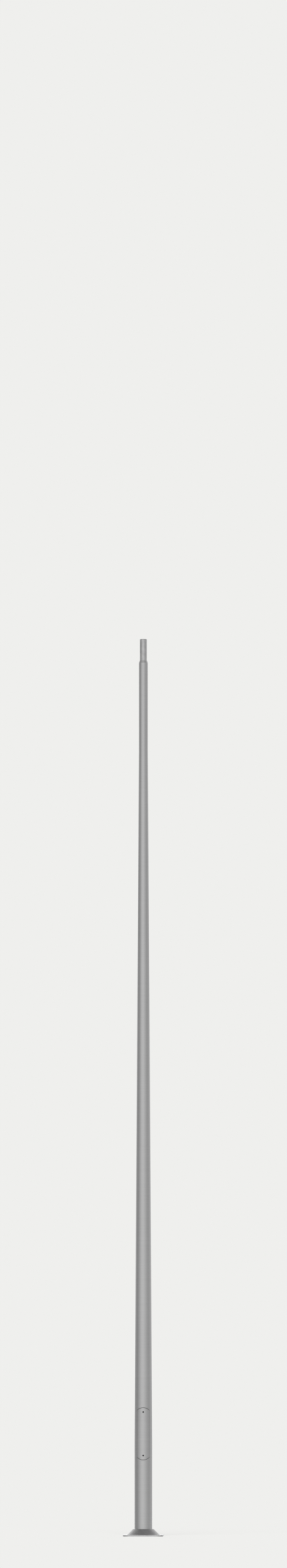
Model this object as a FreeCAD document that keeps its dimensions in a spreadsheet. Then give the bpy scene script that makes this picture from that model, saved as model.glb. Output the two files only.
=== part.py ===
import FreeCAD, Part
import math
import os
import re
import Sketcher

# A tapered aluminium pole on a square base plate, with a flush service door low in the shaft.
# Millimetres, +Z up. The origin is the centre of the base plate's underside, and the door faces -Y.

V = FreeCAD.Vector

# The driving sizes: each is a cell of the sheet, and every piece below is bound to those cells.
SIZES = {
    # base plate
    "plate_side": 345,
    "plate_corner_radius": 40,
    "plate_thickness": 10,
    "plate_bevel": 1,
    "cable_hole_radius": 50,
    "bolt_spacing": 250,
    "bolt_hole_radius": 12,
    # collar round the foot of the shaft, and its two welds
    "collar_foot_radius": 135,
    "collar_foot_land": 2,
    "collar_rim": 14,
    "collar_height": 47,
    "weld_leg": 4,
    "fit_gap": 0.2,
    # shaft: a plain foot, a straight taper and a plain head
    "foot_radius": 76,
    "head_radius": 38,
    "shaft_wall": 4,
    "foot_length": 810,
    "head_length": 750,
    "shaft_top": 7500,
    # spigot at the top, for a luminaire or a bracket
    "spigot_radius": 30,
    "spigot_length": 180,
    "spigot_bore": 26,
    "spigot_bevel": 2,
    "shoulder_height": 24,
    "plug_depth": 80,
    "weld_groove": 2,
    # service opening, its door and the frame behind them
    "opening_bottom": 653,
    "opening_height": 452,
    "opening_half_angle": 46,
    "opening_end_rise": 24.4,
    "door_gap": 5,
    "seat_gap": 0.3,
    "frame_ledge": 10,
    "frame_lap": 12,
    "frame_thickness": 5,
    # locks: a captive screw in a sleeve on the door, and the bar that it screws into
    "lock_inset": 34,
    "lock_hole_radius": 6.5,
    "sleeve_radius": 10,
    "sleeve_to_bar": 7,
    "sleeve_floor": 3,
    "screw_head_radius": 5,
    "screw_head_height": 6,
    "screw_radius": 3,
    "screw_clearance": 0.3,
    "screw_tip": 4,
    "key_width": 5,
    "key_depth": 3.5,
    "ring_radius": 5.5,
    "ring_thickness": 1.2,
    "bar_height": 24,
    "bar_thickness": 8,
    "bar_setback": 27,
    # equipment rail on its two brackets, behind the opening
    "rail_inset": 34,
    "rail_width": 30,
    "rail_depth": 15,
    "rail_wall": 2.5,
    "rail_slot": 14,
    "bracket_setback": 21,
    "bracket_thickness": 6,
    "bracket_height": 30,
    "bracket_inset": 35,
    "rail_screw_head_radius": 6.5,
    "rail_screw_head_height": 5,
    # earth stud beside the rail
    "stud_radius": 4,
    "stud_length": 22,
    "stud_inset": 17.7,
    "washer_radius": 8.5,
    "washer_thickness": 1.6,
    "nut_width": 13,
    "nut_height": 6.5,
}

doc = FreeCAD.newDocument("aluminium_pole")
sheet = doc.addObject("Spreadsheet::Sheet", "sizes")
for row, (alias, value) in enumerate(SIZES.items(), start=1):
    sheet.set(f"A{row}", alias.replace("_", " "))
    sheet.set(f"B{row}", str(value))
    sheet.setAlias(f"B{row}", alias)
doc.recompute()

# Heights and radii that several pieces share, as expressions on the sheet's cells.
SHAFT_BORE = "(foot_radius - shaft_wall)"
OPENING_TOP = "(opening_bottom + opening_height)"
LOWER_LOCK = "(opening_bottom + door_gap + lock_inset)"
UPPER_LOCK = "(opening_bottom + opening_height - door_gap - lock_inset)"
BAR_FRONT = f"({SHAFT_BORE} - bar_setback)"
BAR_BACK = f"({BAR_FRONT} - bar_thickness)"
SLEEVE_END = f"({BAR_FRONT} + sleeve_to_bar)"
BRACKET_FRONT = f"({SHAFT_BORE} - bracket_setback - bracket_thickness)"
STUD_SIDE = f"(sqrt({SHAFT_BORE} ^ 2 - {BRACKET_FRONT} ^ 2) - stud_inset)"
RAIL_BOTTOM = "(opening_bottom + rail_inset)"
RAIL_TOP = f"({OPENING_TOP} - rail_inset)"
LOWER_BRACKET = f"({RAIL_BOTTOM} + bracket_inset)"
UPPER_BRACKET = f"({RAIL_TOP} - bracket_inset)"
COLLAR_TOP = "(plate_thickness + collar_height)"
HALF_CHORD = "(foot_radius * sin(opening_half_angle))"
END_RADIUS = f"(({HALF_CHORD} ^ 2 + opening_end_rise ^ 2) / 2 / opening_end_rise)"

OUTWARD = FreeCAD.Rotation(V(1, 0, 0), 90)  # turns +Z to -Y, out through the door
BACK_TO_FRONT = FreeCAD.Rotation(V(0, 0, 1), 180)
CUTTER_MARGIN = 3  # how far a cutter's upright sides stand outside the sloping ones that trim them


def on_sheet(text):
    """The expression with each size's name turned into a reference to its cell."""
    return re.sub(r"[a-z_]+", lambda m: f"sizes.{m[0]}" if m[0] in SIZES else m[0], text)


def bind(thing, **expressions):
    """Bind properties to the sheet. x, y and z are the coordinates of the placement."""
    for name, text in expressions.items():
        path = f"Placement.Base.{name}" if name in ("x", "y", "z") else name
        thing.setExpression(path, on_sheet(text))
    return thing


def new_body(name, plane):
    """A body with one empty sketch on the plane asked for."""
    body = doc.addObject("PartDesign::Body", name)
    sketch = add_sketch(body, plane)
    return body, sketch


def add_sketch(body, plane):
    sketch = body.newObject("Sketcher::SketchObject", body.Name + "_sketch")
    origin = next(f for f in body.Origin.OriginFeatures if f.Role == plane)
    sketch.AttachmentSupport = [(origin, "")]
    sketch.MapMode = "FlatFace"
    return sketch


def dimension(sketch, kind, *where, text):
    """Add a dimension to a sketch and bind it to the sheet."""
    number = sketch.addConstraint(Sketcher.Constraint(kind, *where, 1.0))
    sketch.setExpression(f"Constraints[{number}]", on_sheet(text))


def outline(sketch, points):
    """A closed outline of straight sides, each corner dimensioned from the sketch's origin."""
    count = len(points)
    for i in range(count):
        start = V(10 + i, i * i, 0)
        end = V(10 + (i + 1) % count, ((i + 1) % count) ** 2, 0)
        sketch.addGeometry(Part.LineSegment(start, end), False)
    for i, (across, up) in enumerate(points):
        sketch.addConstraint(Sketcher.Constraint("Coincident", i, 2, (i + 1) % count, 1))
        if across == "0":
            sketch.addConstraint(Sketcher.Constraint("PointOnObject", i, 1, -2))
        else:
            dimension(sketch, "DistanceX", -1, 1, i, 1, text=across)
        if up == "0":
            sketch.addConstraint(Sketcher.Constraint("PointOnObject", i, 1, -1))
        else:
            dimension(sketch, "DistanceY", -1, 1, i, 1, text=up)


def lathe(name, points):
    """A turned piece: an outline of (radius, height) points, revolved about Z."""
    body, sketch = new_body(name, "XZ_Plane")
    outline(sketch, points)
    turned = body.newObject("PartDesign::Revolution", name + "_turned")
    turned.Profile = sketch
    turned.ReferenceAxis = (sketch, ["V_Axis"])
    turned.Angle = 360
    return body


def boolean(kind, name, base, tool):
    made = doc.addObject(f"Part::{kind}", name)
    made.Base = base
    made.Tool = tool
    return made


def cut(name, base, tool):
    return boolean("Cut", name, base, tool)


def common(name, base, tool):
    return boolean("Common", name, base, tool)


def box(name, length, width, height, x, y, z):
    made = doc.addObject("Part::Box", name)
    return bind(made, Length=length, Width=width, Height=height, x=x, y=y, z=z)


def rod(name, radius, length, x, y, z):
    """A round bar that runs from the point given, out towards the door."""
    made = doc.addObject("Part::Cylinder", name)
    made.Placement.Rotation = OUTWARD
    return bind(made, Radius=radius, Height=length, x=x, y=y, z=z)


def hexagon(name, width, length, x, y, z):
    """A hexagonal bar of the width across its flats, out towards the door."""
    made = doc.addObject("Part::Prism", name)
    made.Polygon = 6
    made.Placement.Rotation = OUTWARD
    return bind(made, Circumradius=f"{width} / 2 / cos(30)", Height=length, x=x, y=y, z=z)


def shaft_line(inset):
    """The shaft's side as (radius, height) points, moved in by an inset."""
    return [
        (f"foot_radius - {inset}", "plate_thickness"),
        (f"foot_radius - {inset}", "plate_thickness + foot_length"),
        (f"head_radius - {inset}", "shaft_top - head_length"),
        (f"head_radius - {inset}", "shaft_top"),
    ]


def shell(name, outer_inset, inner_inset):
    """A tube that follows the shaft's side between two insets."""
    return lathe(name, shaft_line(outer_inset) + shaft_line(inner_inset)[::-1])


def core(name, inset):
    """A solid bar that follows the shaft's side at an inset, to trim what fits inside it."""
    return lathe(name, shaft_line(inset) + [("0", "shaft_top"), ("0", "plate_thickness")])


def opening_cutters(name, grow):
    """The outline of the service opening, grown all round, as two solids to be used together.

    The first is rounded at its ends and runs straight out. The second's sides are square to the wall.
    """
    ends, sketch = new_body(name + "_ends", "XZ_Plane")
    low, high = SIZES["opening_bottom"], SIZES["opening_bottom"] + SIZES["opening_height"]
    side, radius = SIZES["foot_radius"], 1.5 * SIZES["foot_radius"]
    slope = math.acos(side / radius)
    for middle, first, last in (
        (high - radius, slope, math.pi - slope),
        (low + radius, math.pi + slope, 2 * math.pi - slope),
    ):
        circle = Part.Circle(V(0, middle, 0), V(0, 0, 1), radius)
        sketch.addGeometry(Part.ArcOfCircle(circle, first, last), False)
    sketch.addGeometry(Part.LineSegment(V(-side, high, 0), V(-side, low, 0)), False)
    sketch.addGeometry(Part.LineSegment(V(side, low, 0), V(side, high, 0)), False)
    for first, second in (((0, 2), (2, 1)), ((2, 2), (1, 1)), ((1, 2), (3, 1)), ((3, 2), (0, 1))):
        sketch.addConstraint(Sketcher.Constraint("Coincident", *first, *second))
    for arc in (0, 1):
        sketch.addConstraint(Sketcher.Constraint("PointOnObject", arc, 3, -2))
    sketch.addConstraint(Sketcher.Constraint("Equal", 0, 1))
    for side_line in (2, 3):
        sketch.addConstraint(Sketcher.Constraint("Vertical", side_line))
    sketch.addConstraint(Sketcher.Constraint("Symmetric", 0, 1, 0, 2, -2))
    for kind, where, number, text in (
        ("Radius", (0,), radius, f"{END_RADIUS} + {grow}"),
        ("DistanceY", (-1, 1, 0, 3), high - radius, f"{OPENING_TOP} - {END_RADIUS}"),
        ("DistanceY", (-1, 1, 1, 3), low + radius, f"opening_bottom + {END_RADIUS}"),
        ("DistanceX", (-1, 1, 3, 1), side, f"{HALF_CHORD} + {grow} / 2 + {CUTTER_MARGIN}"),
    ):
        added = sketch.addConstraint(Sketcher.Constraint(kind, *where, number))
        sketch.setExpression(f"Constraints[{added}]", on_sheet(text))
    pad = ends.newObject("PartDesign::Pad", name + "_ends_pad")
    pad.Profile = sketch
    bind(pad, Length="1.5 * foot_radius")

    wedge, sketch = new_body(name + "_sides", "XY_Plane")
    for start, end in ((V(0, 0), V(9, 9)), (V(9, 9), V(-9, 9)), (V(-9, 9), V(0, 0))):
        sketch.addGeometry(Part.LineSegment(start, end), False)
    for i in range(3):
        sketch.addConstraint(Sketcher.Constraint("Coincident", i, 2, (i + 1) % 3, 1))
    sketch.addConstraint(Sketcher.Constraint("Coincident", 0, 1, -1, 1))
    sketch.addConstraint(Sketcher.Constraint("Symmetric", 1, 1, 1, 2, -2))
    dimension(sketch, "DistanceX", -1, 1, 1, 1, text="3 * foot_radius * sin(opening_half_angle)")
    dimension(sketch, "DistanceY", -1, 1, 1, 1, text="3 * foot_radius * cos(opening_half_angle)")
    pad = wedge.newObject("PartDesign::Pad", name + "_sides_pad")
    pad.Profile = sketch
    bind(pad, Length="opening_height + opening_bottom")
    wedge.Placement.Rotation = BACK_TO_FRONT
    bind(wedge, y=f"({grow}) / sin(opening_half_angle)", z="opening_bottom / 2")
    return ends, wedge


def opening_prism(name, grow):
    """The whole opening as one solid, to cut it out of a wall."""
    return common(name, *opening_cutters(name, grow))


def opening_panel(name, wall, grow):
    """The piece of a wall that lies within the opening's outline."""
    ends, wedge = opening_cutters(name, grow)
    return common(name, common(name + "_strip", wall, wedge), ends)


def plate_outline(sketch):
    """A square about the sketch's origin with its corners rounded off."""
    reach, bend = SIZES["plate_side"] / 2, SIZES["plate_corner_radius"]
    flat = reach - bend
    for turn in range(4):
        quarter = FreeCAD.Rotation(V(0, 0, 1), 90 * turn)
        start, end = quarter.multVec(V(-flat, -reach)), quarter.multVec(V(flat, -reach))
        sketch.addGeometry(Part.LineSegment(start, end), False)
        corner = Part.Circle(quarter.multVec(V(flat, -flat)), V(0, 0, 1), bend)
        first = (turn - 1) * math.pi / 2
        sketch.addGeometry(Part.ArcOfCircle(corner, first, first + math.pi / 2), False)
    for turn in range(4):
        line, arc, following = 2 * turn, 2 * turn + 1, (2 * turn + 2) % 8
        sketch.addConstraint(Sketcher.Constraint("Tangent", line, 2, arc, 1))
        sketch.addConstraint(Sketcher.Constraint("Tangent", arc, 2, following, 1))
        level = "Vertical" if turn % 2 else "Horizontal"
        sketch.addConstraint(Sketcher.Constraint(level, line))
        if turn:
            sketch.addConstraint(Sketcher.Constraint("Equal", 1, arc))
    sketch.addConstraint(Sketcher.Constraint("Symmetric", 1, 3, 5, 3, -1, 1))
    for kind, where, number, text in (
        ("Radius", (1,), bend, "plate_corner_radius"),
        ("DistanceX", (7, 3, 1, 3), 2 * flat, "plate_side - 2 * plate_corner_radius"),
        ("DistanceY", (1, 3, 3, 3), 2 * flat, "plate_side - 2 * plate_corner_radius"),
    ):
        added = sketch.addConstraint(Sketcher.Constraint(kind, *where, number))
        sketch.setExpression(f"Constraints[{added}]", on_sheet(text))


def round_hole(body, name, radius, x, y):
    """A hole through the plate, cut upwards from its underside."""
    sketch = add_sketch(body, "XY_Plane")
    sketch.addGeometry(Part.Circle(V(1, 1, 0), V(0, 0, 1), 5), False)
    dimension(sketch, "Radius", 0, text=radius)
    if x == y == "0":
        sketch.addConstraint(Sketcher.Constraint("Coincident", 0, 3, -1, 1))
    else:
        dimension(sketch, "DistanceX", -1, 1, 0, 3, text=x)
        dimension(sketch, "DistanceY", -1, 1, 0, 3, text=y)
    hole = body.newObject("PartDesign::Pocket", name)
    hole.Profile = sketch
    hole.Reversed = True
    bind(hole, Length="plate_thickness")
    return hole, sketch


def base_plate():
    """A square of thick plate with its edges broken, a cable hole and an anchor hole in each corner."""
    body, sketch = new_body("base_plate", "XY_Plane")
    plate_outline(sketch)
    pad = body.newObject("PartDesign::Pad", "plate_pad")
    pad.Profile = sketch
    bind(pad, Length="plate_thickness")
    doc.recompute()
    level = [edge.BoundBox.ZLength < 0.001 for edge in pad.Shape.Edges]
    bevel = body.newObject("PartDesign::Chamfer", "plate_bevels")
    bevel.Base = (pad, [f"Edge{i}" for i, flat in enumerate(level, start=1) if flat])
    bind(bevel, Size="plate_bevel")
    doc.recompute()
    round_hole(body, "cable_hole", "cable_hole_radius", "0", "0")
    half = "bolt_spacing / 2"
    anchor, sketch = round_hole(body, "anchor_hole", "bolt_hole_radius", half, half)
    ring = body.newObject("PartDesign::PolarPattern", "anchor_holes")
    ring.Originals = [anchor]
    ring.Axis = (sketch, ["N_Axis"])
    ring.Angle = 360
    ring.Occurrences = 4
    body.Tip = ring
    return body


def base_collar():
    """A turned conical ring that is slipped over the shaft and welded to it and to the plate."""
    inner = "foot_radius + fit_gap"
    return lathe("base_collar", [
        (inner, "plate_thickness"),
        ("collar_foot_radius", "plate_thickness"),
        ("collar_foot_radius", "plate_thickness + collar_foot_land"),
        ("foot_radius + collar_rim", COLLAR_TOP),
        (inner, COLLAR_TOP),
    ])


def fillet_weld(name, radius, height):
    """A three-sided bead in the corner between an upright wall and a flat face."""
    return lathe(name, [
        (radius, height),
        (f"{radius} + weld_leg", height),
        (radius, f"{height} + weld_leg"),
    ])


def top_spigot():
    """A turned reducer: a plug inside the shaft, a sloping shoulder and the spigot with its bore."""
    plug = "head_radius - shaft_wall - fit_gap"
    joint = "shaft_top"
    shoulder_top = "shaft_top + shoulder_height"
    tip = f"{shoulder_top} + spigot_length"
    return lathe("top_spigot", [
        ("spigot_bore", f"{joint} - plug_depth"),
        (plug, f"{joint} - plug_depth"),
        (plug, joint),
        ("head_radius - weld_groove", joint),
        ("head_radius", f"{joint} + weld_groove"),
        ("spigot_radius", shoulder_top),
        ("spigot_radius", f"{tip} - spigot_bevel"),
        ("spigot_radius - spigot_bevel", tip),
        ("spigot_bore", tip),
    ])


def spigot_weld():
    """The butt weld between shaft and spigot, filled into its groove and dressed flush."""
    return lathe("spigot_weld", [
        ("head_radius - weld_groove", "shaft_top"),
        ("head_radius", "shaft_top - weld_groove"),
        ("head_radius", "shaft_top + weld_groove"),
    ])


def shaft():
    """One spun tube, its top edge bevelled for the weld, with the service opening cut through."""
    outer = shaft_line("0")[:3] + [
        ("head_radius", "shaft_top - weld_groove"),
        ("head_radius - weld_groove", "shaft_top"),
    ]
    tube = lathe("shaft_tube", outer + shaft_line("shaft_wall")[::-1])
    return cut("shaft", tube, opening_prism("opening", "0"))


def door_frame():
    """A rolled ring welded behind the edge of the opening: it stiffens the shaft and seats the door."""
    ring = shell("frame_shell", "shaft_wall", "(shaft_wall + frame_thickness)")
    outside = opening_panel("frame_blank", ring, "frame_lap")
    window = opening_prism("frame_window", "(0 - door_gap - frame_ledge)")
    return cut("door_frame", outside, window)


def door():
    """The piece of tube cut from the opening, a gap smaller all round, with its two lock holes."""
    panel = shell("door_shell", "0", "(shaft_wall - seat_gap)")
    blank = opening_panel("door_blank", panel, "(0 - door_gap)")
    holes = doc.addObject("Part::MultiFuse", "lock_holes")
    holes.Shapes = [
        rod(f"{side}_lock_hole", "lock_hole_radius", "2 * foot_radius", "0", "0", height)
        for side, height in (("lower", LOWER_LOCK), ("upper", UPPER_LOCK))
    ]
    return cut("door", blank, holes)


def lock(side, height, frame_core, door_core):
    """One lock: the bar across the frame, and the sleeve, screw and ring that stay on the door."""
    bar = box(
        f"{side}_bar_blank", "2 * foot_radius", "bar_thickness", "bar_height",
        "0 - foot_radius", f"0 - {BAR_FRONT}", f"{height} - bar_height / 2",
    )
    thread = rod(
        f"{side}_bar_thread", "screw_radius + screw_clearance", "foot_radius", "0", "0", height
    )
    bar = cut(f"{side}_lock_bar", common(f"{side}_bar_trimmed", bar, frame_core), thread)

    sleeve = lathe(f"{side}_sleeve_turned", [
        ("screw_radius + screw_clearance", "0"),
        ("sleeve_radius", "0"),
        ("sleeve_radius", "foot_radius"),
        ("lock_hole_radius", "foot_radius"),
        ("lock_hole_radius", "sleeve_floor"),
        ("screw_radius + screw_clearance", "sleeve_floor"),
    ])
    sleeve.Placement.Rotation = OUTWARD
    bind(sleeve, y=f"0 - {SLEEVE_END}", z=height)
    sleeve = common(f"{side}_lock_sleeve", sleeve, door_core)

    head_seat = f"({SLEEVE_END} + sleeve_floor - {BAR_BACK} + screw_tip)"
    screw = lathe(f"{side}_screw_turned", [
        ("0", "0"),
        ("screw_radius", "0"),
        ("screw_radius", head_seat),
        ("screw_head_radius", head_seat),
        ("screw_head_radius", f"{head_seat} + screw_head_height"),
        ("0", f"{head_seat} + screw_head_height"),
    ])
    screw.Placement.Rotation = OUTWARD
    bind(screw, y=f"screw_tip - {BAR_BACK}", z=height)
    key = hexagon(
        f"{side}_screw_key", "key_width", "foot_radius", "0",
        f"key_depth - screw_head_height - sleeve_floor - {SLEEVE_END}", height,
    )
    screw = cut(f"{side}_lock_screw", screw, key)

    ring = lathe(f"{side}_screw_ring", [
        ("screw_radius", "0"),
        ("ring_radius", "0"),
        ("ring_radius", "ring_thickness"),
        ("screw_radius", "ring_thickness"),
    ])
    ring.Placement.Rotation = OUTWARD
    bind(ring, y=f"ring_thickness - {SLEEVE_END}", z=height)
    return [bar, sleeve, screw, ring]


def rail_bracket(side, height, bore_core):
    """A flat bar across the back of the bore, its ends trimmed to the wall."""
    blank = box(
        f"{side}_bracket_blank", "2 * foot_radius", "bracket_thickness", "bracket_height",
        "0 - foot_radius", BRACKET_FRONT, f"{height} - bracket_height / 2",
    )
    return common(f"{side}_rail_bracket", blank, bore_core)


def equipment_rail():
    """A C-shaped rail that faces the door, for a fuse box held by sliding nuts."""
    body, sketch = new_body("equipment_rail", "XY_Plane")
    back, front = BRACKET_FRONT, f"({BRACKET_FRONT} - rail_depth)"
    half, inner, lip = "rail_width / 2", "(rail_width / 2 - rail_wall)", "rail_slot / 2"
    right = [
        (half, back),
        (half, front),
        (lip, front),
        (lip, f"{front} + rail_wall"),
        (inner, f"{front} + rail_wall"),
        (inner, f"{back} - rail_wall"),
    ]
    count = len(right)
    corners = [V(9 - i % 3, 30 - i) for i in range(count)]
    corners += [V(-p.x, p.y) for p in corners[::-1]]
    for i in range(2 * count):
        sketch.addGeometry(Part.LineSegment(corners[i], corners[(i + 1) % (2 * count)]), False)
    for i in range(2 * count):
        sketch.addConstraint(Sketcher.Constraint("Coincident", i, 2, (i + 1) % (2 * count), 1))
    for i, (across, up) in enumerate(right):
        dimension(sketch, "DistanceX", -1, 1, i, 1, text=across)
        dimension(sketch, "DistanceY", -1, 1, i, 1, text=up)
        mirrored = 2 * count - 1 - i
        sketch.addConstraint(Sketcher.Constraint("Symmetric", i, 1, mirrored, 1, -2))
    pad = body.newObject("PartDesign::Pad", "rail_pad")
    pad.Profile = sketch
    bind(pad, Length=f"{RAIL_TOP} - {RAIL_BOTTOM}")
    bind(body, z=RAIL_BOTTOM)
    return body


def rail_screws():
    """The two round-headed screws inside the rail that hold it to its brackets."""
    seat = f"({BRACKET_FRONT} - rail_wall)"
    heads = []
    for side, height in (("lower", LOWER_BRACKET), ("upper", UPPER_BRACKET)):
        heads.append(rod(
            f"{side}_rail_screw", "rail_screw_head_radius", "rail_screw_head_height",
            "0", seat, height,
        ))
    made = doc.addObject("Part::Compound", "rail_screws")
    made.Links = heads
    return made


def earth_terminal():
    """A threaded stud on the lower bracket with its washer and nut, for the earth wire."""
    height = LOWER_BRACKET
    nut_seat = f"({BRACKET_FRONT} - washer_thickness)"
    stud = rod("earth_stud", "stud_radius", "stud_length", STUD_SIDE, BRACKET_FRONT, height)
    washer = cut(
        "earth_washer",
        rod("washer_blank", "washer_radius", "washer_thickness", STUD_SIDE, BRACKET_FRONT, height),
        rod("washer_hole", "stud_radius", "stud_length", STUD_SIDE, BRACKET_FRONT, height),
    )
    nut = cut(
        "earth_nut",
        hexagon("nut_blank", "nut_width", "nut_height", STUD_SIDE, nut_seat, height),
        rod("nut_hole", "stud_radius", "stud_length", STUD_SIDE, BRACKET_FRONT, height),
    )
    return [stud, washer, nut]


bore_core = core("bore_core", "shaft_wall")
frame_core = core("frame_core", "(shaft_wall + frame_thickness)")
door_core = core("door_core", "(shaft_wall - seat_gap)")

pieces = [
    base_plate(),
    base_collar(),
    fillet_weld("collar_foot_weld", "collar_foot_radius", "plate_thickness"),
    fillet_weld("collar_top_weld", "foot_radius", COLLAR_TOP),
    shaft(),
    spigot_weld(),
    top_spigot(),
    door_frame(),
    door(),
    *lock("lower", LOWER_LOCK, frame_core, door_core),
    *lock("upper", UPPER_LOCK, frame_core, door_core),
    rail_bracket("lower", LOWER_BRACKET, bore_core),
    rail_bracket("upper", UPPER_BRACKET, bore_core),
    equipment_rail(),
    rail_screws(),
    *earth_terminal(),
]

doc.recompute()
for thing in doc.Objects:
    if {"Invalid", "Error"} & set(thing.State):
        raise RuntimeError(f"{thing.Name} failed: {thing.State}")
for made in doc.findObjects("Part::Cut"):
    if made.Shape.Volume > made.Base.Shape.Volume - 1:
        raise RuntimeError(f"{made.Name} took nothing away")
for piece in pieces:
    if piece.Shape.isNull() or not piece.Shape.isValid() or piece.Shape.Volume <= 0:
        raise RuntimeError(f"{piece.Label} has no valid solid")

os.makedirs("parts", exist_ok=True)
for piece in pieces:
    piece.Shape.exportStep(f"parts/{piece.Label}.step")
    print(f"{piece.Label:20s} {len(piece.Shape.Solids)} solids {piece.Shape.Volume / 1000:10.2f} cm3")
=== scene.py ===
import math

import bmesh
import bpy
from mathutils import Matrix, Vector


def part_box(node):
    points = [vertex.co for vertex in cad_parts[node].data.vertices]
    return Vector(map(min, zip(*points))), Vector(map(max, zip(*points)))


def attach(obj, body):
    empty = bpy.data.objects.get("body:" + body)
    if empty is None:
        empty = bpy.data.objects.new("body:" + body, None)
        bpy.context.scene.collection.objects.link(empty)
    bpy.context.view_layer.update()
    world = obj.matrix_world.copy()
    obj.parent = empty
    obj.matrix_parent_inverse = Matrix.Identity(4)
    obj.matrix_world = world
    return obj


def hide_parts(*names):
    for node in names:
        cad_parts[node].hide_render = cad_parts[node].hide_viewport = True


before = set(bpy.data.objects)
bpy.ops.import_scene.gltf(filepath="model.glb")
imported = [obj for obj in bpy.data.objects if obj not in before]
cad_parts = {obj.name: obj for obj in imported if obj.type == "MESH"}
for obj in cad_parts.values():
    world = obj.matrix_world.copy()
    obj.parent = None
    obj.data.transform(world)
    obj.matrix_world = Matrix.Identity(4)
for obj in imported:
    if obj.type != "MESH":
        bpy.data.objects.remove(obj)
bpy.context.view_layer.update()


# Base plate: a square of 10 mm rolled aluminium plate, torch-cut with rounded corners and drilled for
# four anchor bolts and the supply cables. Its faces are pickled pale and dull. The bare rim keeps the
# upright lines of the torch. Round the rounded corners the rim carries painted shade, for the shade of
# their curve.


class Shade:
    """One output of a shader node. Arithmetic on it adds Math nodes to the same tree."""

    def __init__(self, tree, made=None, output=0):
        self.tree = tree
        self.made = made
        self.output = output

    def __getitem__(self, output):
        return Shade(self.tree, self.made, output)

    def node(self, kind, settings=None, inputs=None):
        """Add a node. Its settings come first, then a value or a link for each socket named."""
        made = self.tree.nodes.new("ShaderNode" + kind)
        for name, value in (settings or {}).items():
            if name == "stops":
                for position, brightness in value[1:-1]:
                    made.color_ramp.elements.new(position)
                for stop, (position, brightness) in zip(made.color_ramp.elements, value):
                    stop.position = position
                    stop.color = (brightness, brightness, brightness, 1)
            elif name == "blend":
                made.color_ramp.interpolation = value
            else:
                setattr(made, name, value)
        for name, value in (inputs or {}).items():
            if isinstance(value, Shade):
                self.tree.links.new(value.made.outputs[value.output], made.inputs[name])
            else:
                made.inputs[name].default_value = value
        return Shade(self.tree, made)

    def math(self, operation, first, second=0.0):
        return self.node("Math", {"operation": operation}, {0: first, 1: second})

    def __add__(self, other):
        return self.math("ADD", self, other)

    def __sub__(self, other):
        return self.math("SUBTRACT", self, other)

    def __rsub__(self, other):
        return self.math("SUBTRACT", other, self)

    def __mul__(self, other):
        return self.math("MULTIPLY", self, other)

    __radd__ = __add__
    __rmul__ = __mul__

    def stretched(self, x, y, z):
        """This vector with each of its parts multiplied."""
        return self.node("VectorMath", {"operation": "MULTIPLY"}, {0: self, 1: (x, y, z)})

    def noise(self, scale, detail=2.0, roughness=0.5):
        """Noise over this vector, from 0 to 1."""
        return self.node(
            "TexNoise", None, {"Vector": self, "Scale": scale, "Detail": detail, "Roughness": roughness}
        )

    def between(self, low, high):
        """0 where this value is under low, 1 where it is over high, and a smooth rise between."""
        settings = {"interpolation_type": "SMOOTHSTEP"}
        return self.node("MapRange", settings, {"Value": self, "From Min": low, "From Max": high})

    def blend(self, first, second):
        """The first colour where this value is 0, and the second where it is 1."""
        return self.node("Mix", {"data_type": "RGBA"}, {0: self, 6: first, 7: second})[2]


def grey(brightness, tint=(1.0, 1.0, 1.0)):
    return (*(brightness * part for part in tint), 1.0)


def new_finish(name, constants=None):
    """A metal with its shader, ready for its patterns. Returns both with the texture coordinates."""
    material = bpy.data.materials.new(name)
    material.use_nodes = True
    tree = material.node_tree
    tree.nodes.clear()
    start = Shade(tree)
    shader = start.node("BsdfPrincipled", None, {"Metallic": 1.0, **(constants or {})})
    start.node("OutputMaterial", None, {"Surface": shader})
    return material, shader, start.node("TexCoord")


def set_looks(shader, colour=None, roughness=None, relief=None, height=0.0, metallic=None):
    """Link a finish's patterns, and a relief of the height given in metres."""
    for name, value in (("Base Color", colour), ("Roughness", roughness), ("Metallic", metallic)):
        if value is not None:
            shader.tree.links.new(value.made.outputs[value.output], shader.made.inputs[name])
    if relief is not None:
        bump = relief.node("Bump", None, {"Height": relief, "Distance": height, "Strength": 1.0})
        shader.tree.links.new(bump.made.outputs[0], shader.made.inputs["Normal"])


def dress(material, *nodes):
    """Give carried-over pieces their finish."""
    for name in nodes:
        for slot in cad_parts[name].material_slots:
            slot.link = "OBJECT"
            slot.material = material


CORNER_START = 0.115
CORNER_MIDDLE = 0.14

plate_aluminium, shader, coordinates = new_finish("plate_aluminium", {"Specular IOR Level": 0.0})
place = coordinates["Object"]
upright = coordinates.node("SeparateXYZ", None, {0: coordinates["Normal"]})["Z"]
rim = 1 - upright.math("ABSOLUTE", upright)
from_centre = place.node("VectorMath", {"operation": "ABSOLUTE"}, {0: place})
parts = place.node("SeparateXYZ", None, {0: from_centre})
# Painted shade: round the rounded corners the rim's colour goes down to a dark grey, for the shade of
# their curve.
corner = rim * parts.math("MINIMUM", parts["X"], parts["Y"]).between(CORNER_START, CORNER_MIDDLE)
rolled = place.stretched(12, 900, 1).noise(1.0, detail=3.0).between(0.3, 0.7)
clouds = place.noise(18.0, detail=4.0).between(0.3, 0.7)
cutting = place.stretched(700, 700, 12).noise(1.0, detail=2.0).between(0.3, 0.7)
grain = rolled * (1 - rim) + cutting * rim
mottle = grain * 0.5 + clouds * 0.5
faces = mottle.blend(grey(0.76), grey(0.92))
bare = mottle.blend(grey(0.46), grey(0.61))
set_looks(
    shader,
    # The rim's colour takes the painted corner shade.
    colour=corner.blend(rim.blend(faces, bare), grey(0.36)),
    roughness=0.12 + rim * 0.22 + grain * 0.05 + clouds * 0.05,
    relief=grain,
    height=0.00002,
    metallic=0.55 + rim * 0.45,
)
dress(plate_aluminium, "base_plate")


# Collar: a conical ring turned from thick aluminium, slipped over the foot of the shaft. It is
# welded round its foot to the plate and round its rim to the shaft. The lathe tool has left fine
# level rings on the cone.

SHARPEST_BEND = math.radians(32)
SAME_PLACE = 1e-6


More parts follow.
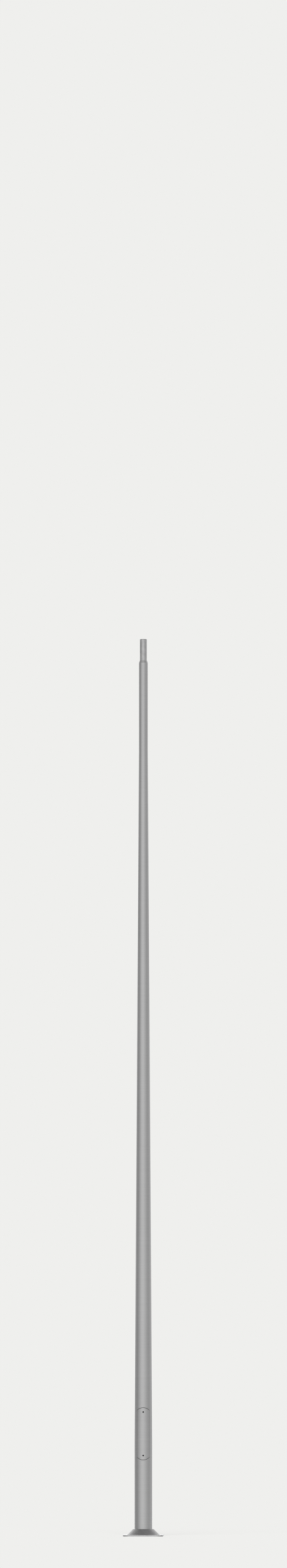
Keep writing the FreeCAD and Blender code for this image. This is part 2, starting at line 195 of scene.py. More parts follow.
def turned(outline, steps, closed=False, sectors=1):
    """An outline of (radius, height) points, spun about Z: one sector, and then copies of it."""
    shape = bmesh.new()
    corners = [shape.verts.new((radius, 0, height)) for radius, height in outline]
    pairs = list(zip(corners, corners[1:])) + [(corners[-1], corners[0])] * closed
    edges = [shape.edges.new(pair) for pair in pairs]
    centred = {"axis": (0, 0, 1), "cent": (0, 0, 0), "dvec": (0, 0, 0)}
    sector = 2 * math.pi / sectors
    bmesh.ops.spin(
        shape, geom=corners + edges, angle=sector, steps=steps // sectors, use_merge=sectors == 1,
        **centred,
    )
    if sectors > 1:
        bmesh.ops.spin(
            shape, geom=shape.verts[:] + shape.edges[:] + shape.faces[:], use_duplicate=True,
            angle=sector * (sectors - 1), steps=sectors - 1, **centred,
        )
    bmesh.ops.remove_doubles(shape, verts=shape.verts, dist=SAME_PLACE)
    bmesh.ops.recalc_face_normals(shape, faces=shape.faces)
    return shape


def add_piece(shape, name, material, body, node, eased=False):
    """Make the finished shape an object that stands for a carried-over piece."""
    mesh = bpy.data.meshes.new(name)
    shape.to_mesh(mesh)
    shape.free()
    mesh.shade_smooth()
    mesh.set_sharp_from_angle(angle=SHARPEST_BEND)
    mesh.materials.append(material)
    piece = bpy.data.objects.new(name, mesh)
    bpy.context.scene.collection.objects.link(piece)
    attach(piece, body)
    if eased:
        flatten = piece.modifiers.new("flat_faces", "WEIGHTED_NORMAL")
        flatten.keep_sharp = True
    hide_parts(node)


collar_aluminium, shader, coordinates = new_finish("collar_aluminium")
place = coordinates["Object"]
rings = place.stretched(3, 3, 1300).noise(1.0, detail=3.0).between(0.3, 0.7)
clouds = place.noise(22.0, detail=4.0).between(0.3, 0.7)
set_looks(
    shader,
    colour=(rings * 0.5 + clouds * 0.5).blend(grey(0.46), grey(0.61)),
    roughness=0.32 + rings * 0.10 + clouds * 0.08,
    relief=rings,
    height=0.00003,
)

COLLAR_CLEARANCE = 0.0002
COLLAR_RIM = 0.014
COLLAR_LIP = 0.002
COLLAR_STEPS = 240

low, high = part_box("base_collar")
foot_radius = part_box("shaft")[1].x
bore = foot_radius + COLLAR_CLEARANCE
outline = [
    (bore, low.z), (high.x, low.z), (high.x, low.z + COLLAR_LIP), (foot_radius + COLLAR_RIM, high.z),
    (bore, high.z),
]
cone = turned(outline, COLLAR_STEPS, closed=True)
add_piece(cone, "turned_collar", collar_aluminium, "pole", "base_collar")


# Welds: a fillet bead round the foot of the collar, another round its rim, and the butt weld that
# joins the spigot to the shaft, which is dressed flush. They are laid by hand in aluminium wire,
# so the two fillets keep the overlapping ripples of the pool and their toes wander a little.

weld_aluminium, shader, coordinates = new_finish("weld_aluminium")
place = coordinates["Object"]
frost = place.noise(900.0, detail=3.0)
clouds = place.noise(60.0, detail=3.0)
set_looks(
    shader,
    colour=(frost * 0.4 + clouds * 0.6).blend(grey(0.50), grey(0.68)),
    roughness=0.30 + frost * 0.16,
    relief=frost,
    height=0.00006,
)
dress(weld_aluminium, "spigot_weld")

WELD_ROOT = 0.0003
WELD_CROWN = 0.0005
CROWN_PARTS = 8
RIPPLE_PITCH = 0.0036
RIPPLE_DEPTH = 0.0003
RIPPLE_CURVE = 0.45
RIPPLE_AT_TOES = 0.4
RIPPLE_STEPS = 7
TOE_WANDER = 0.14
TOE_LOBES = (11, 7)
LOBE_SHIFT = 1.3
WELD_SECTORS = 12

for weld in ("collar_foot_weld", "collar_top_weld"):
    low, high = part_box(weld)
    leg = high.z - low.z
    wall = high.x - leg
    outline = [(wall - WELD_ROOT, low.z - WELD_ROOT)]
    if weld == "collar_foot_weld":
        # The collar leans away above its lip, so this bead is filled in behind to meet it.
        outline.append((wall - leg, high.z))
    for part in range(CROWN_PARTS + 1):
        along = part / CROWN_PARTS
        crown = WELD_CROWN * 4 * along * (1 - along)
        outline.append((wall + leg * along + crown, low.z + leg * (1 - along) + crown))
    ripples = WELD_SECTORS * round(2 * math.pi * wall / RIPPLE_PITCH / WELD_SECTORS)
    bead = turned(outline, ripples * RIPPLE_STEPS, closed=True, sectors=WELD_SECTORS)
    for corner in bead.verts:
        turn = math.atan2(corner.co.y, corner.co.x)
        out = math.hypot(corner.co.x, corner.co.y) - wall
        up = corner.co.z - low.z
        if out < -WELD_ROOT / 2:
            continue
        along = out / (out + up)
        middle = 4 * along * (1 - along)
        swell = abs(math.sin(ripples * turn / 2 + math.pi * RIPPLE_CURVE * middle)) - 1
        wander = math.sin(TOE_LOBES[0] * turn + LOBE_SHIFT) * math.sin(TOE_LOBES[1] * turn)
        wander = 0.5 + 0.5 * wander
        reach = 1 - TOE_WANDER * wander + RIPPLE_DEPTH / leg * swell * (RIPPLE_AT_TOES + middle)
        corner.co.x = math.cos(turn) * (wall + out * reach)
        corner.co.y = math.sin(turn) * (wall + out * reach)
        corner.co.z = low.z + up * reach
    add_piece(bead, weld.replace("weld", "weld_bead"), weld_aluminium, "pole", weld)


# Shaft: one drawn aluminium tube, spun down to a long taper, with the service opening cut through it
# near the foot. Outside it is ground with a belt, which leaves very fine level lines under a thin
# clear anodised skin. Inside it keeps the dull skin of the drawn tube.

satin_aluminium, shader, coordinates = new_finish("satin_aluminium")
place = coordinates["Object"]
outwards = place.node(
    "VectorMath", {"operation": "DOT_PRODUCT"}, {0: coordinates["Normal"], 1: place.stretched(1, 1, 0)}
)["Value"]
outside = outwards.between(-0.001, 0.001)
ground = place.stretched(3, 3, 1100).noise(1.0, detail=3.0, roughness=0.6).between(0.3, 0.7)
passes = place.stretched(0.8, 0.8, 38).noise(1.0, detail=3.0)
clouds = place.stretched(9, 9, 2.5).noise(1.0, detail=3.0)
drawn = place.stretched(500, 500, 5).noise(1.0, detail=2.0).between(0.3, 0.7)
outer_skin = (ground * 0.5 + passes * 0.25 + clouds * 0.25).blend(grey(0.48), grey(0.62))
inner_skin = (drawn * 0.5 + clouds * 0.5).blend(grey(0.24), grey(0.42))
set_looks(
    shader,
    colour=outside.blend(inner_skin, outer_skin),
    roughness=outside * (0.33 + ground * 0.10 + clouds * 0.05) + (1 - outside) * 0.5,
    relief=ground * outside + drawn * (1 - outside),
    height=0.00002,
)

SHAFT_STEPS = 180
SHAFT_WALL = 0.004
TAPER_START = 0.820
TAPER_END = 6.750
OPENING_BOTTOM = 0.653
OPENING_TOP = 1.105
OPENING_HALF_ANGLE = math.radians(46)
OPENING_END_RISE = 0.0244
EASED_ROUND_OPENING = 0.03
SQUARE_EDGE = 1.0
DRESSED_EDGE = 0.0006
RINGS_BELOW = (0.1, 0.3, 0.5, 0.62)
RINGS_BESIDE = (0.72, TAPER_START, 0.93, 1.03)
RINGS_ABOVE = (1.14, 1.3, 1.6, 2.0, 2.5, 3.0, 3.5, 4.0, 4.5, 5.0, 5.5, 6.0, 6.4, TAPER_END, 7.0, 7.3)
CLOSING_ROUNDS = 4

head_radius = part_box("spigot_weld")[1].x
half_chord = foot_radius * math.sin(OPENING_HALF_ANGLE)
end_radius = (half_chord**2 + OPENING_END_RISE**2) / 2 / OPENING_END_RISE


def shaft_radius(height):
    """The shaft's outer radius: a plain foot, a straight taper and a plain head."""
    fall = min(max((height - TAPER_START) / (TAPER_END - TAPER_START), 0), 1)
    return foot_radius + (head_radius - foot_radius) * fall


def end_height(top, angle, grow=0.0, inset=0.0):
    """How high the rounded end of the opening's outline, grown all round, is at this angle."""
    height = OPENING_TOP if top else OPENING_BOTTOM
    # The wall's radius changes with the height, so each round comes closer to it.
    for closer in range(CLOSING_ROUNDS):
        across = (shaft_radius(height) - inset) * math.sin(angle)
        rise = math.sqrt((end_radius + grow) ** 2 - across**2)
        height = OPENING_TOP - end_radius + rise if top else OPENING_BOTTOM + end_radius - rise
    return height


def side_angle(height, grow=0.0, inset=0.0):
    """The angle from the front at which the outline's straight side stands at this height."""
    return OPENING_HALF_ANGLE + math.asin(grow / (shaft_radius(height) - inset))


def from_front(point):
    """The angle round the pole at which a point stands from the front."""
    return math.atan2(point.x, -point.y)


def put_on_wall(corner, angle, height, inset=0.0):
    """Move a corner onto the shaft's wall, at an angle from the front."""
    radius = shaft_radius(height) - inset
    corner.co = (radius * math.sin(angle), -radius * math.cos(angle), height)


def ease(shape, edges, width, segments=2):
    """Round these edges over this width."""
    bmesh.ops.bevel(
        shape, geom=edges, offset=width, offset_type="OFFSET", affect="EDGES", segments=segments,
        profile=0.5, material=-1,
    )


def thicken(shape, wall):
    """Give an open skin its wall, inwards, and ease the edges in and round the opening."""
    bmesh.ops.recalc_face_normals(shape, faces=shape.faces)
    face = next(iter(shape.faces))
    middle = face.calc_center_median()
    if face.normal.x * middle.x + face.normal.y * middle.y < 0:
        bmesh.ops.reverse_faces(shape, faces=shape.faces)
    bmesh.ops.solidify(shape, geom=shape.faces[:], thickness=wall)
    bmesh.ops.recalc_face_normals(shape, faces=shape.faces)
    lowest = OPENING_BOTTOM - EASED_ROUND_OPENING
    highest = OPENING_TOP + EASED_ROUND_OPENING
    sharp = [
        line for line in shape.edges
        if line.calc_face_angle(0) > SQUARE_EDGE and lowest < line.verts[0].co.z < highest
    ]
    ease(shape, sharp, DRESSED_EDGE)


corner_heights = [end_height(top, OPENING_HALF_ANGLE) for top in (False, True)]
heights = [
    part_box("shaft")[0].z, *RINGS_BELOW, corner_heights[0], *RINGS_BESIDE, corner_heights[1],
    *RINGS_ABOVE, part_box("spigot_weld")[0].z,
]
tube = turned([(shaft_radius(height), height) for height in heights], SHAFT_STEPS)
for corner in tube.verts:
    angle = from_front(corner.co)
    for top, height in enumerate(corner_heights):
        if abs(corner.co.z - height) < SAME_PLACE and abs(angle) < OPENING_HALF_ANGLE:
            put_on_wall(corner, angle, end_height(top, angle))
within = []
for face in tube.faces:
    middle = face.calc_center_median()
    angle = from_front(middle)
    if abs(angle) < OPENING_HALF_ANGLE and end_height(0, angle) < middle.z < end_height(1, angle):
        within.append(face)
bmesh.ops.delete(tube, geom=within, context="FACES")
thicken(tube, SHAFT_WALL)
add_piece(tube, "spun_shaft", satin_aluminium, "pole", "shaft", eased=True)


# Door: the piece of tube that was cut from the opening, with its two lock holes drilled through. It
# has the same ground outside as the shaft that it continues. Its edges are sawn a little short, most
# in the middle of its rounded ends, and least along the sides, where the seam can hardly be seen.

END_GAP = 0.0032
SIDE_GAP = 0.001
DOOR_WALL = 0.0037
DOOR_COLUMNS = 36
LOCK_CELLS = 4
LOCK_HOLE_RADIUS = 0.0065
PAST_CORNERS = 1.6
STRAIGHT_ROWS = (0.745, 1.015)
OUTER_ROWS = (0.664, 1.092)
MIDDLE_ROWS = (0.722, STRAIGHT_ROWS[0], TAPER_START, 0.88, 0.95, STRAIGHT_ROWS[1], 1.037)
DOOR_CORNER_ANGLE = 0.7


def end_gap(angle):
    """How much the door's rounded ends are sawn short at this angle from the front."""
    return END_GAP - (END_GAP - SIDE_GAP) * (angle / OPENING_HALF_ANGLE) ** 4


locks = [sum(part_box(f"{side}_lock_screw"), Vector()) / 2 for side in ("lower", "upper")]
cell = foot_radius * 2 * side_angle(OPENING_BOTTOM, -SIDE_GAP) / DOOR_COLUMNS
half_square = LOCK_CELLS * cell
door_ends = [end_height(top, 0, -END_GAP) for top in (False, True)]
lock_rows = [[lock.z + cell * part for part in range(-LOCK_CELLS, LOCK_CELLS + 1)] for lock in locks]
rows = [
    door_ends[0], OUTER_ROWS[0], *lock_rows[0], *MIDDLE_ROWS, *lock_rows[1], OUTER_ROWS[1],
    door_ends[1],
]

panel = bmesh.new()
bmesh.ops.create_grid(panel, x_segments=DOOR_COLUMNS, y_segments=len(rows) - 1, size=0.5)
for corner in panel.verts:
    height = rows[round((corner.co.y + 0.5) * (len(rows) - 1))]
    across = corner.co.x * 2
    for top, straight in enumerate(STRAIGHT_ROWS):
        bend = min(max((straight - height) / (straight - door_ends[top]), 0), 1)
        if bend:
            corner_height = end_height(top, DOOR_CORNER_ANGLE, -SIDE_GAP)
            angle = across * side_angle(corner_height, -SIDE_GAP)
            height += bend * (end_height(top, angle, -end_gap(angle)) - door_ends[top])
    put_on_wall(corner, across * side_angle(height, -SIDE_GAP), height)
for lock in locks:
    block = []
    for face in panel.faces:
        middle = face.calc_center_median()
        if max(abs(middle.x), abs(middle.z - lock.z)) < half_square:
            block.append(face)
    bmesh.ops.delete(panel, geom=block, context="FACES")
    square = [
        line for line in panel.edges
        if line.is_boundary and (line.verts[0].co - lock).xz.length < PAST_CORNERS * half_square
    ]
    hole = bmesh.ops.create_circle(
        panel, segments=8 * LOCK_CELLS, radius=LOCK_HOLE_RADIUS,
        matrix=Matrix.Translation((0, 0, lock.z)) @ Matrix.Rotation(math.pi / 2, 4, "X"),
    )["verts"]
    for corner in hole:
        corner.co.y = -math.sqrt(shaft_radius(corner.co.z) ** 2 - corner.co.x**2)
    ring = [line for line in panel.edges if line.verts[0] in hole]
    bmesh.ops.bridge_loops(panel, edges=square + ring)
thicken(panel, DOOR_WALL)
add_piece(panel, "door_panel", satin_aluminium, "door", "door", eased=True)


# Spigot: turned from bar, with a plug inside the shaft, a sloping shoulder and a bored stub on top
# that a lantern or a bracket slips over.

turned_aluminium, shader, coordinates = new_finish("turned_aluminium")
place = coordinates["Object"]
rings = place.stretched(3, 3, 1100).noise(1.0, detail=2.0).between(0.3, 0.7)
clouds = place.noise(30.0, detail=3.0).between(0.3, 0.7)
set_looks(
    shader,
    colour=(rings * 0.5 + clouds * 0.5).blend(grey(0.48), grey(0.63)),
    roughness=0.30 + rings * 0.12,
    relief=rings,
    height=0.00003,
)
dress(turned_aluminium, "top_spigot")


# Door frame: a rim of 5 mm plate, rolled to fit inside the shaft's wall and fixed round the opening,
# so that the door's edges have a ledge to lie on. Its near-black colour is painted shade, so the seam
# round the door reads as dark as a deep shadowed gap.

# Painted shade: this near-black colour stands in for the shade deep in the door's seam.
dark_aluminium, shader, coordinates = new_finish("dark_aluminium")
place = coordinates["Object"]
rings = place.stretched(60, 900, 60).noise(1.0, detail=2.0)
set_looks(
    shader,
    colour=rings.blend(grey(0.022), grey(0.045)),
    roughness=0.42 + rings * 0.12,
    relief=rings,
    height=0.00003,
)

FRAME_LAP = 0.012
FRAME_LEDGE = 0.015
FRAME_WALL = 0.005
FRAME_CUTS = 5
FRAME_CORNER_ANGLE = 0.8
END_PARTS = 46
SIDE_PARTS = 20


def outline_loop(shape, grow, inset):
    """Add the opening's outline, grown all round, as a closed loop of edges on the wall."""
    near_ends = [end_height(top, FRAME_CORNER_ANGLE, grow, inset) for top in (False, True)]
    sides = [side_angle(height, grow, inset) for height in near_ends]
    ends = [end_height(top, sides[top], grow, inset) for top in (False, True)]
    places = []
    # Across the bottom and up the right side, then back across the top and down the left side.
    for top, way in enumerate((1, -1)):
        for part in range(END_PARTS):
            angle = way * sides[top] * (2 * part / END_PARTS - 1)
            places.append((angle, end_height(top, angle, grow, inset)))
        for part in range(SIDE_PARTS):
            height = ends[top] + (ends[1 - top] - ends[top]) * part / SIDE_PARTS
            places.append((way * side_angle(height, grow, inset), height))
    corners = [shape.verts.new() for place in places]
    for corner, (angle, height) in zip(corners, places):
        put_on_wall(corner, angle, height, inset)
    return [shape.edges.new(pair) for pair in zip(corners, corners[1:] + corners[:1])]


ring = bmesh.new()
outer = outline_loop(ring, FRAME_LAP, SHAFT_WALL)
inner = outline_loop(ring, -FRAME_LEDGE, SHAFT_WALL)
loops = set(outer + inner)
bmesh.ops.bridge_loops(ring, edges=outer + inner)
across = [line for line in ring.edges if line not in loops]
bmesh.ops.subdivide_edges(ring, edges=across, cuts=FRAME_CUTS, use_grid_fill=True)
for corner in ring.verts:
    put_on_wall(corner, from_front(corner.co), corner.co.z, SHAFT_WALL)
thicken(ring, FRAME_WALL)
# The frame gets the near-black finish as painted seam shade.
add_piece(ring, "rolled_door_frame", dark_aluminium, "pole", "door_frame", eased=True)


# Lock bars and rail brackets: sawn and bent from flat bar, left as rolled.

mill_aluminium, shader, coordinates = new_finish("mill_aluminium")
place = coordinates["Object"]
rolled = place.stretched(20, 20, 700).noise(1.0, detail=3.0).between(0.3, 0.7)
clouds = place.noise(40.0, detail=4.0).between(0.3, 0.7)
set_looks(
    shader,
    colour=(rolled * 0.5 + clouds * 0.5).blend(grey(0.27), grey(0.45)),
    roughness=0.38 + rolled * 0.14,
    relief=rolled,
    height=0.00003,
)
dress(mill_aluminium, "lower_lock_bar", "upper_lock_bar")
dress(mill_aluminium, "lower_rail_bracket", "upper_rail_bracket")


# Locks: each is an M6 socket screw held captive in a dark anodised sleeve on the back of the door by
# a small stainless ring. The screw is blackened steel with a knurled head and a hexagon socket, and
# it pulls the door shut against the bar across the frame.

# The sleeves share the near-black finish as their own dark anodising.
dress(dark_aluminium, "lower_lock_sleeve", "upper_lock_sleeve")

black_steel, shader, coordinates = new_finish("black_steel")
place = coordinates["Object"]
oiled = place.noise(500.0, detail=3.0)
set_looks(
    shader,
    colour=oiled.blend(grey(0.012), grey(0.035)),
    roughness=0.38 + oiled * 0.2,
    relief=oiled,
    height=0.00002,
)

stainless_steel, shader, coordinates = new_finish("stainless_steel")
place = coordinates["Object"]
lathe_lines = place.stretched(80, 1200, 80).noise(1.0, detail=2.0)
set_looks(
    shader,
    colour=lathe_lines.blend(grey(0.50, (1.0, 0.98, 0.95)), grey(0.62, (1.0, 0.98, 0.95))),
    roughness=0.26 + lathe_lines * 0.12,
    relief=lathe_lines,
    height=0.00002,
)
dress(stainless_steel, "lower_screw_ring", "upper_screw_ring")

OUT_THROUGH_DOOR = Matrix.Rotation(math.pi / 2, 4, "X")
THREAD_STEPS = 24
THREAD_DEPTH = 0.61
THREAD_POINT = 0.0001


def stand_out(shape, seat):
    """Turn a piece made along Z to stand out towards the door, with its foot at this seat."""
    bmesh.ops.transform(
        shape, matrix=Matrix.Translation(seat) @ OUT_THROUGH_DOOR, verts=shape.verts
    )


def join(shape, part):
    """Move all of a part into the shape."""
    mesh = bpy.data.meshes.new("part")
    part.to_mesh(mesh)
    part.free()
    shape.from_mesh(mesh)
    bpy.data.meshes.remove(mesh)


def make_hexagonal(shape, across, lowest, widest):
    """Push the round walls above a height, out to a radius, onto a hexagon of this width."""
    for corner in shape.verts:
        radius = math.hypot(corner.co.x, corner.co.y)
        if corner.co.z > lowest and 0 < radius < widest:
            turn = math.atan2(corner.co.y, corner.co.x) % (math.pi / 3) - math.pi / 6
            stretch = across / 2 / math.cos(turn) / radius
            corner.co.x *= stretch
            corner.co.y *= stretch


def add_thread(shape, radius, pitch, start, length):
    """Add a threaded rod along Z, its first turn pointed, cut square at both ends."""
    thread = bmesh.new()
    root = radius - THREAD_DEPTH * pitch
    outline = [(radius, 0), (radius, 0.125), (root, 0.5625), (root, 0.6875), (radius, 1)]
    corners = [thread.verts.new((r, 0, start + (h - 1) * pitch)) for r, h in outline]
    edges = [thread.edges.new(pair) for pair in zip(corners, corners[1:])]
    turns = math.ceil(length / pitch) + 2
    bmesh.ops.spin(
        thread, geom=corners + edges, axis=(0, 0, 1), cent=(0, 0, 0),
        dvec=(0, 0, pitch / THREAD_STEPS), angle=2 * math.pi * turns, steps=THREAD_STEPS * turns,
    )
    bmesh.ops.remove_doubles(thread, verts=thread.verts, dist=SAME_PLACE)
    for height, side in ((start, -1), (start + length, 1)):
        cut = bmesh.ops.bisect_plane(
            thread, geom=thread.verts[:] + thread.edges[:] + thread.faces[:],
            plane_co=(0, 0, height), plane_no=(0, 0, side), clear_outer=True,
        )
        rim = [part for part in cut["geom_cut"] if isinstance(part, bmesh.types.BMEdge)]
        bmesh.ops.edgeloop_fill(thread, edges=rim)
    for corner in thread.verts:
        limit = root - THREAD_POINT + corner.co.z - start
        reach = math.hypot(corner.co.x, corner.co.y)
        if reach > limit:
            corner.co.x *= limit / reach
            corner.co.y *= limit / reach
    bmesh.ops.recalc_face_normals(thread, faces=thread.faces)
    join(shape, thread)


KEY_WIDTH = 0.005
KEY_DEPTH = 0.0035
HEAD_HEIGHT = 0.006
KNURL_STEPS = 96
KNURL_DEPTH = 0.0002
SHANK_RADIUS = 0.003
M6_PITCH = 0.001
THREADED_LENGTH = 0.014

for side in ("lower", "upper"):
    low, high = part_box(f"{side}_lock_screw")
    knob_radius = (high.x - low.x) / 2
    length = high.y - low.y
    seat = length - HEAD_HEIGHT
    socket = KEY_WIDTH / 2
    screw = turned([
        (0, THREADED_LENGTH / 2),
        (SHANK_RADIUS - 0.0004, THREADED_LENGTH / 2),
        (SHANK_RADIUS - 0.0004, THREADED_LENGTH),
        (SHANK_RADIUS, THREADED_LENGTH + 0.0006),
        (SHANK_RADIUS, seat),
        (knob_radius - 0.0003, seat),
        (knob_radius, seat + 0.0003),
        (knob_radius, length - 0.0009),
        (knob_radius - 0.0002, length - 0.0004),
        (knob_radius - 0.0006, length - 0.0001),
        (knob_radius - 0.001, length),
        (socket + 0.00045, length),
        (socket, length - 0.0003),
        (socket, length - KEY_DEPTH),
        (0.001, length - KEY_DEPTH - 0.0004),
        (0, length - KEY_DEPTH - 0.0006),
    ], KNURL_STEPS)
    make_hexagonal(screw, KEY_WIDTH, length - KEY_DEPTH - 0.0002, socket + 0.0001)
    for corner in screw.verts:
        radius = math.hypot(corner.co.x, corner.co.y)
        step = round(math.atan2(corner.co.y, corner.co.x) / (2 * math.pi) * KNURL_STEPS)
        if step % 2 and radius > knob_radius - 0.0001:
            corner.co.x *= 1 - KNURL_DEPTH / knob_radius
            corner.co.y *= 1 - KNURL_DEPTH / knob_radius
    add_thread(screw, SHANK_RADIUS, M6_PITCH, 0, THREADED_LENGTH)
    stand_out(screw, (0, high.y, (low.z + high.z) / 2))
    add_piece(screw, f"{side}_socket_screw", black_steel, "door", f"{side}_lock_screw")


# Equipment rail: a C-shaped rail folded from 2.5 mm zinc-plated strip, on two brackets, so its bends
# are round outside. Two button-headed socket screws hold it from inside.

zinc_plated_steel, shader, coordinates = new_finish("zinc_plated_steel")
place = coordinates["Object"]
spangle = place.noise(260.0, detail=2.0)
set_looks(
    shader,
    colour=spangle.blend(grey(0.48, (0.97, 1.0, 1.03)), grey(0.64, (1.0, 1.0, 0.97))),
    roughness=0.30 + spangle * 0.16,
    relief=spangle,
    height=0.00002,
)

RAIL_WALL = 0.0025
RAIL_LIP = 0.008
BEND_RADIUS = 0.0035
SAWN_EDGE = 0.0003

low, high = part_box("equipment_rail")
rail = bmesh.new()
section = [
    (low.x + RAIL_LIP, low.y), (low.x, low.y), (low.x, high.y),
    (high.x, high.y), (high.x, low.y), (high.x - RAIL_LIP, low.y),
]
corners = [rail.verts.new((x, y, low.z)) for x, y in section]
edges = [rail.edges.new(pair) for pair in zip(corners, corners[1:])]
sides = bmesh.ops.extrude_edge_only(rail, edges=edges)
risen = [part for part in sides["geom"] if isinstance(part, bmesh.types.BMVert)]
bmesh.ops.translate(rail, verts=risen, vec=(0, 0, high.z - low.z))
bends = [edge for edge in rail.edges if len(edge.link_faces) == 2]
ease(rail, bends, BEND_RADIUS, segments=5)
bmesh.ops.recalc_face_normals(rail, faces=rail.faces)
flat = max(rail.faces, key=lambda face: face.calc_center_median().y)
if flat.normal.y < 0:
    bmesh.ops.reverse_faces(rail, faces=rail.faces)
bmesh.ops.solidify(rail, geom=rail.faces, thickness=RAIL_WALL)
bmesh.ops.recalc_face_normals(rail, faces=rail.faces)
sawn = [edge for edge in rail.edges if edge.is_manifold and edge.calc_face_angle(0) > SQUARE_EDGE]
ease(rail, sawn, SAWN_EDGE)
add_piece(rail, "folded_rail", zinc_plated_steel, "pole", "equipment_rail")

BUTTON_KEY = 0.004
BUTTON_STEPS = 60

low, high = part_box("rail_screws")
radius = (high.x - low.x) / 2
rise = high.y - low.y
heads = bmesh.new()
for height in (low.z + radius, high.z - radius):
    button = turned([
        (0, 0), (radius - 0.0002, 0), (radius, 0.0003), (radius, 0.0008),
        (radius * 0.94, rise * 0.42), (radius * 0.80, rise * 0.68), (radius * 0.62, rise * 0.88),
        (radius * 0.48, rise * 0.97), (BUTTON_KEY / 2 + 0.0004, rise), (BUTTON_KEY / 2, rise - 0.0003),
        (BUTTON_KEY / 2, rise * 0.45), (0.0008, rise * 0.38), (0, rise * 0.36),
    ], BUTTON_STEPS)
    make_hexagonal(button, BUTTON_KEY, rise * 0.4, BUTTON_KEY / 2 + 0.0001)
    stand_out(button, (0, high.y, height))
    join(heads, button)
add_piece(heads, "rail_button_screws", zinc_plated_steel, "pole", "rail_screws")


# Earth terminal: an M8 stainless stud on the lower bracket, with a washer and a chamfered nut to
# clamp the earth wire's lug.

M8_PITCH = 0.00125
NUT_CHAMFER = math.radians(30)
NUT_CORNER_STEPS = 6
NUT_STEPS = 72


def add_on_stud(shape, name, node):
    """Stand a piece made along Z on the middle of this node's back face, and add it."""
    low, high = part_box(node)
    stand_out(shape, ((low.x + high.x) / 2, high.y, (low.z + high.z) / 2))
    add_piece(shape, name, stainless_steel, "pole", node)


low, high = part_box("earth_stud")
stud_radius = (high.x - low.x) / 2
stud = bmesh.new()
add_thread(stud, stud_radius, M8_PITCH, 0, high.y - low.y)
add_on_stud(stud, "threaded_stud", "earth_stud")

low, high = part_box("earth_washer")
radius = (high.x - low.x) / 2
thickness = high.y - low.y
washer = turned([
    (stud_radius, 0), (radius - 0.0003, 0), (radius, 0.0003), (radius, thickness - 0.0005),
    (radius - 0.0005, thickness), (stud_radius + 0.0002, thickness), (stud_radius, thickness - 0.0002),
], NUT_STEPS, closed=True)
add_on_stud(washer, "plain_washer", "earth_washer")

low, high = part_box("earth_nut")
flats = high.z - low.z
rise = high.y - low.y
corner_reach = flats / 2 / math.cos(math.pi / 6)
chamfer = (corner_reach - flats / 2) * math.tan(NUT_CHAMFER)
heights = [chamfer * part / NUT_CORNER_STEPS for part in range(NUT_CORNER_STEPS + 1)]
heights += [rise - height for height in reversed(heights)]
nut = turned(
    [(stud_radius, 0)] + [(corner_reach, height) for height in heights] + [(stud_radius, rise)],
    NUT_STEPS, closed=True,
)
for corner in nut.verts:
    if math.hypot(corner.co.x, corner.co.y) < corner_reach - 0.0001:
        continue
    turn = math.atan2(corner.co.y, corner.co.x)
    flat = flats / 2 / math.cos(turn % (math.pi / 3) - math.pi / 6)
    inset = max(0, chamfer - min(corner.co.z, rise - corner.co.z))
    reach = min(flat, corner_reach - inset / math.tan(NUT_CHAMFER))
    corner.co.x = reach * math.cos(turn)
    corner.co.y = reach * math.sin(turn)
add_on_stud(nut, "chamfered_nut", "earth_nut")


# The studio: a plain pale floor and backdrop. Metal shows a ring of broad soft panels with gaps
# between them, a dim ceiling, and behind the pole a dim band under the panels and a soft lamp above
# them on the left.

PALE = (0.8632, 0.8632, 0.8469, 1.0)
FLOOR_PAINT = (0.80, 0.80, 0.784, 1.0)
FLOOR_SIZE = 60.0
SHADOW_SHARE = 0.3
SHADOW_FULL = 0.4
SHADOW_END = 3.0

floor_mesh = bpy.data.meshes.new("studio_floor")
pane = bmesh.new()
bmesh.ops.create_grid(pane, x_segments=1, y_segments=1, size=FLOOR_SIZE)
pane.to_mesh(floor_mesh)
pane.free()
floor = bpy.data.objects.new("studio_floor", floor_mesh)
bpy.context.scene.collection.objects.link(floor)
floor.visible_glossy = False

floor_paint = bpy.data.materials.new("floor_paint")
floor_paint.use_nodes = True
floor_paint.node_tree.nodes.clear()
start = Shade(floor_paint.node_tree)
place = start.node("TexCoord")["Object"]
distance = place.node("VectorMath", {"operation": "LENGTH"}, {0: place})["Value"]
shadowed = SHADOW_SHARE * (1 - distance.between(SHADOW_FULL, SHADOW_END))
lit = start.node("BsdfDiffuse", None, {"Color": FLOOR_PAINT})
even = start.node("Emission", None, {"Color": PALE})
camera_ray = start.node("LightPath")["Is Camera Ray"]
share = 1 - camera_ray * (1 - shadowed)
surface = start.node("MixShader", None, {0: share, 1: even, 2: lit})
start.node("OutputMaterial", None, {"Surface": surface})
floor_mesh.materials.append(floor_paint)

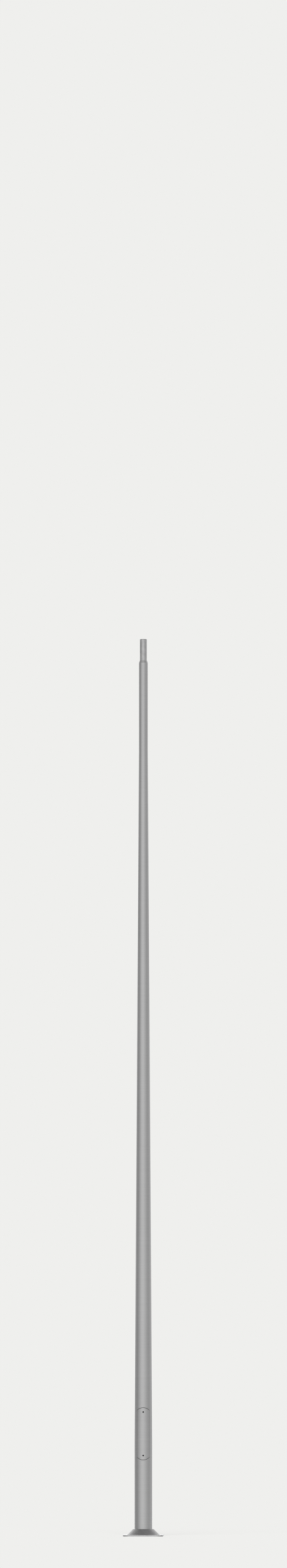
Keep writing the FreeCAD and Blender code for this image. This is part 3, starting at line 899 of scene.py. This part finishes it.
world = bpy.data.worlds.new("studio")
bpy.context.scene.world = world
world.use_nodes = True
world.node_tree.nodes.clear()
start = Shade(world.node_tree)
direction = start.node("SeparateXYZ", None, {0: start.node("TexCoord")["Generated"]})
around = start.math("ARCTAN2", direction["X"], 0 - direction["Y"]) * (0.5 / math.pi) + 0.5
CEILING = grey(0.22)
DIM_BAND = grey(0.4)
LAMP = grey(2.0)
LAMP_SHARE = 0.3
PANELS = (
    (-180, 1.2), (-150, 1.0), (-125, 0.46), (-105, 0.39), (-90, 0.375), (-75, 0.43), (-60, 0.56),
    (-45, 0.74), (-30, 0.875), (-15, 0.94), (0, 0.925), (15, 0.85), (30, 0.72), (45, 0.62),
    (60, 0.53), (75, 0.505), (90, 0.525), (110, 0.6), (130, 0.74), (150, 0.85), (180, 1.2),
)
stops = [(0.5 + degrees / 360, brightness) for degrees, brightness in PANELS]
panels = around.node("ValToRGB", {"stops": stops, "blend": "B_SPLINE"}, {0: around})
overhead = direction["Z"].between(0.35, 1.0)
turned_away = around - 0.5
behind = turned_away.math("ABSOLUTE", turned_away).between(0.33, 0.42)
below = 1 - direction["Z"].between(-0.25, 0.0)
reflected = overhead.blend(panels, CEILING)
reflected = (behind * below).blend(reflected, DIM_BAND)
behind_left = around.between(0.0, 0.04) * (1 - around.between(0.03, 0.15))
over_panels = direction["Z"].between(0.05, 0.3)
reflected = (LAMP_SHARE * behind_left * over_panels).blend(reflected, LAMP)
seen = start.node("LightPath")["Is Camera Ray"].blend(reflected, PALE)
background = start.node("Background", None, {"Color": seen})
start.node("OutputWorld", None, {"Surface": background})

sun_data = bpy.data.lights.new("studio_lamp", "SUN")
sun_data.energy = 2.2
sun_data.angle = math.radians(40)
sun = bpy.data.objects.new("studio_lamp", sun_data)
sun.rotation_euler = (math.radians(30), 0, math.radians(-15))
sun.visible_glossy = False
bpy.context.scene.collection.objects.link(sun)

scene = bpy.context.scene
scene.view_settings.view_transform = "Standard"

# The camera looks at the door from far away, from a little above the floor and a little to its right.
ELEVATION = math.radians(1.9)
AZIMUTH = math.radians(1.4)
AIM = Vector((0.001, 0, 6.4594))
VIEW_HEIGHT = 13.4641
DISTANCE = 30

camera_data = bpy.data.cameras.new("camera")
camera_data.type = "ORTHO"
camera_data.ortho_scale = VIEW_HEIGHT
camera_data.clip_end = 200.0
camera = bpy.data.objects.new("camera", camera_data)
camera.rotation_euler = (math.radians(90) - ELEVATION, 0, AZIMUTH)
away = camera.rotation_euler.to_matrix() @ Vector((0, 0, 1))
camera.location = AIM + DISTANCE * away
scene.collection.objects.link(camera)
scene.camera = camera
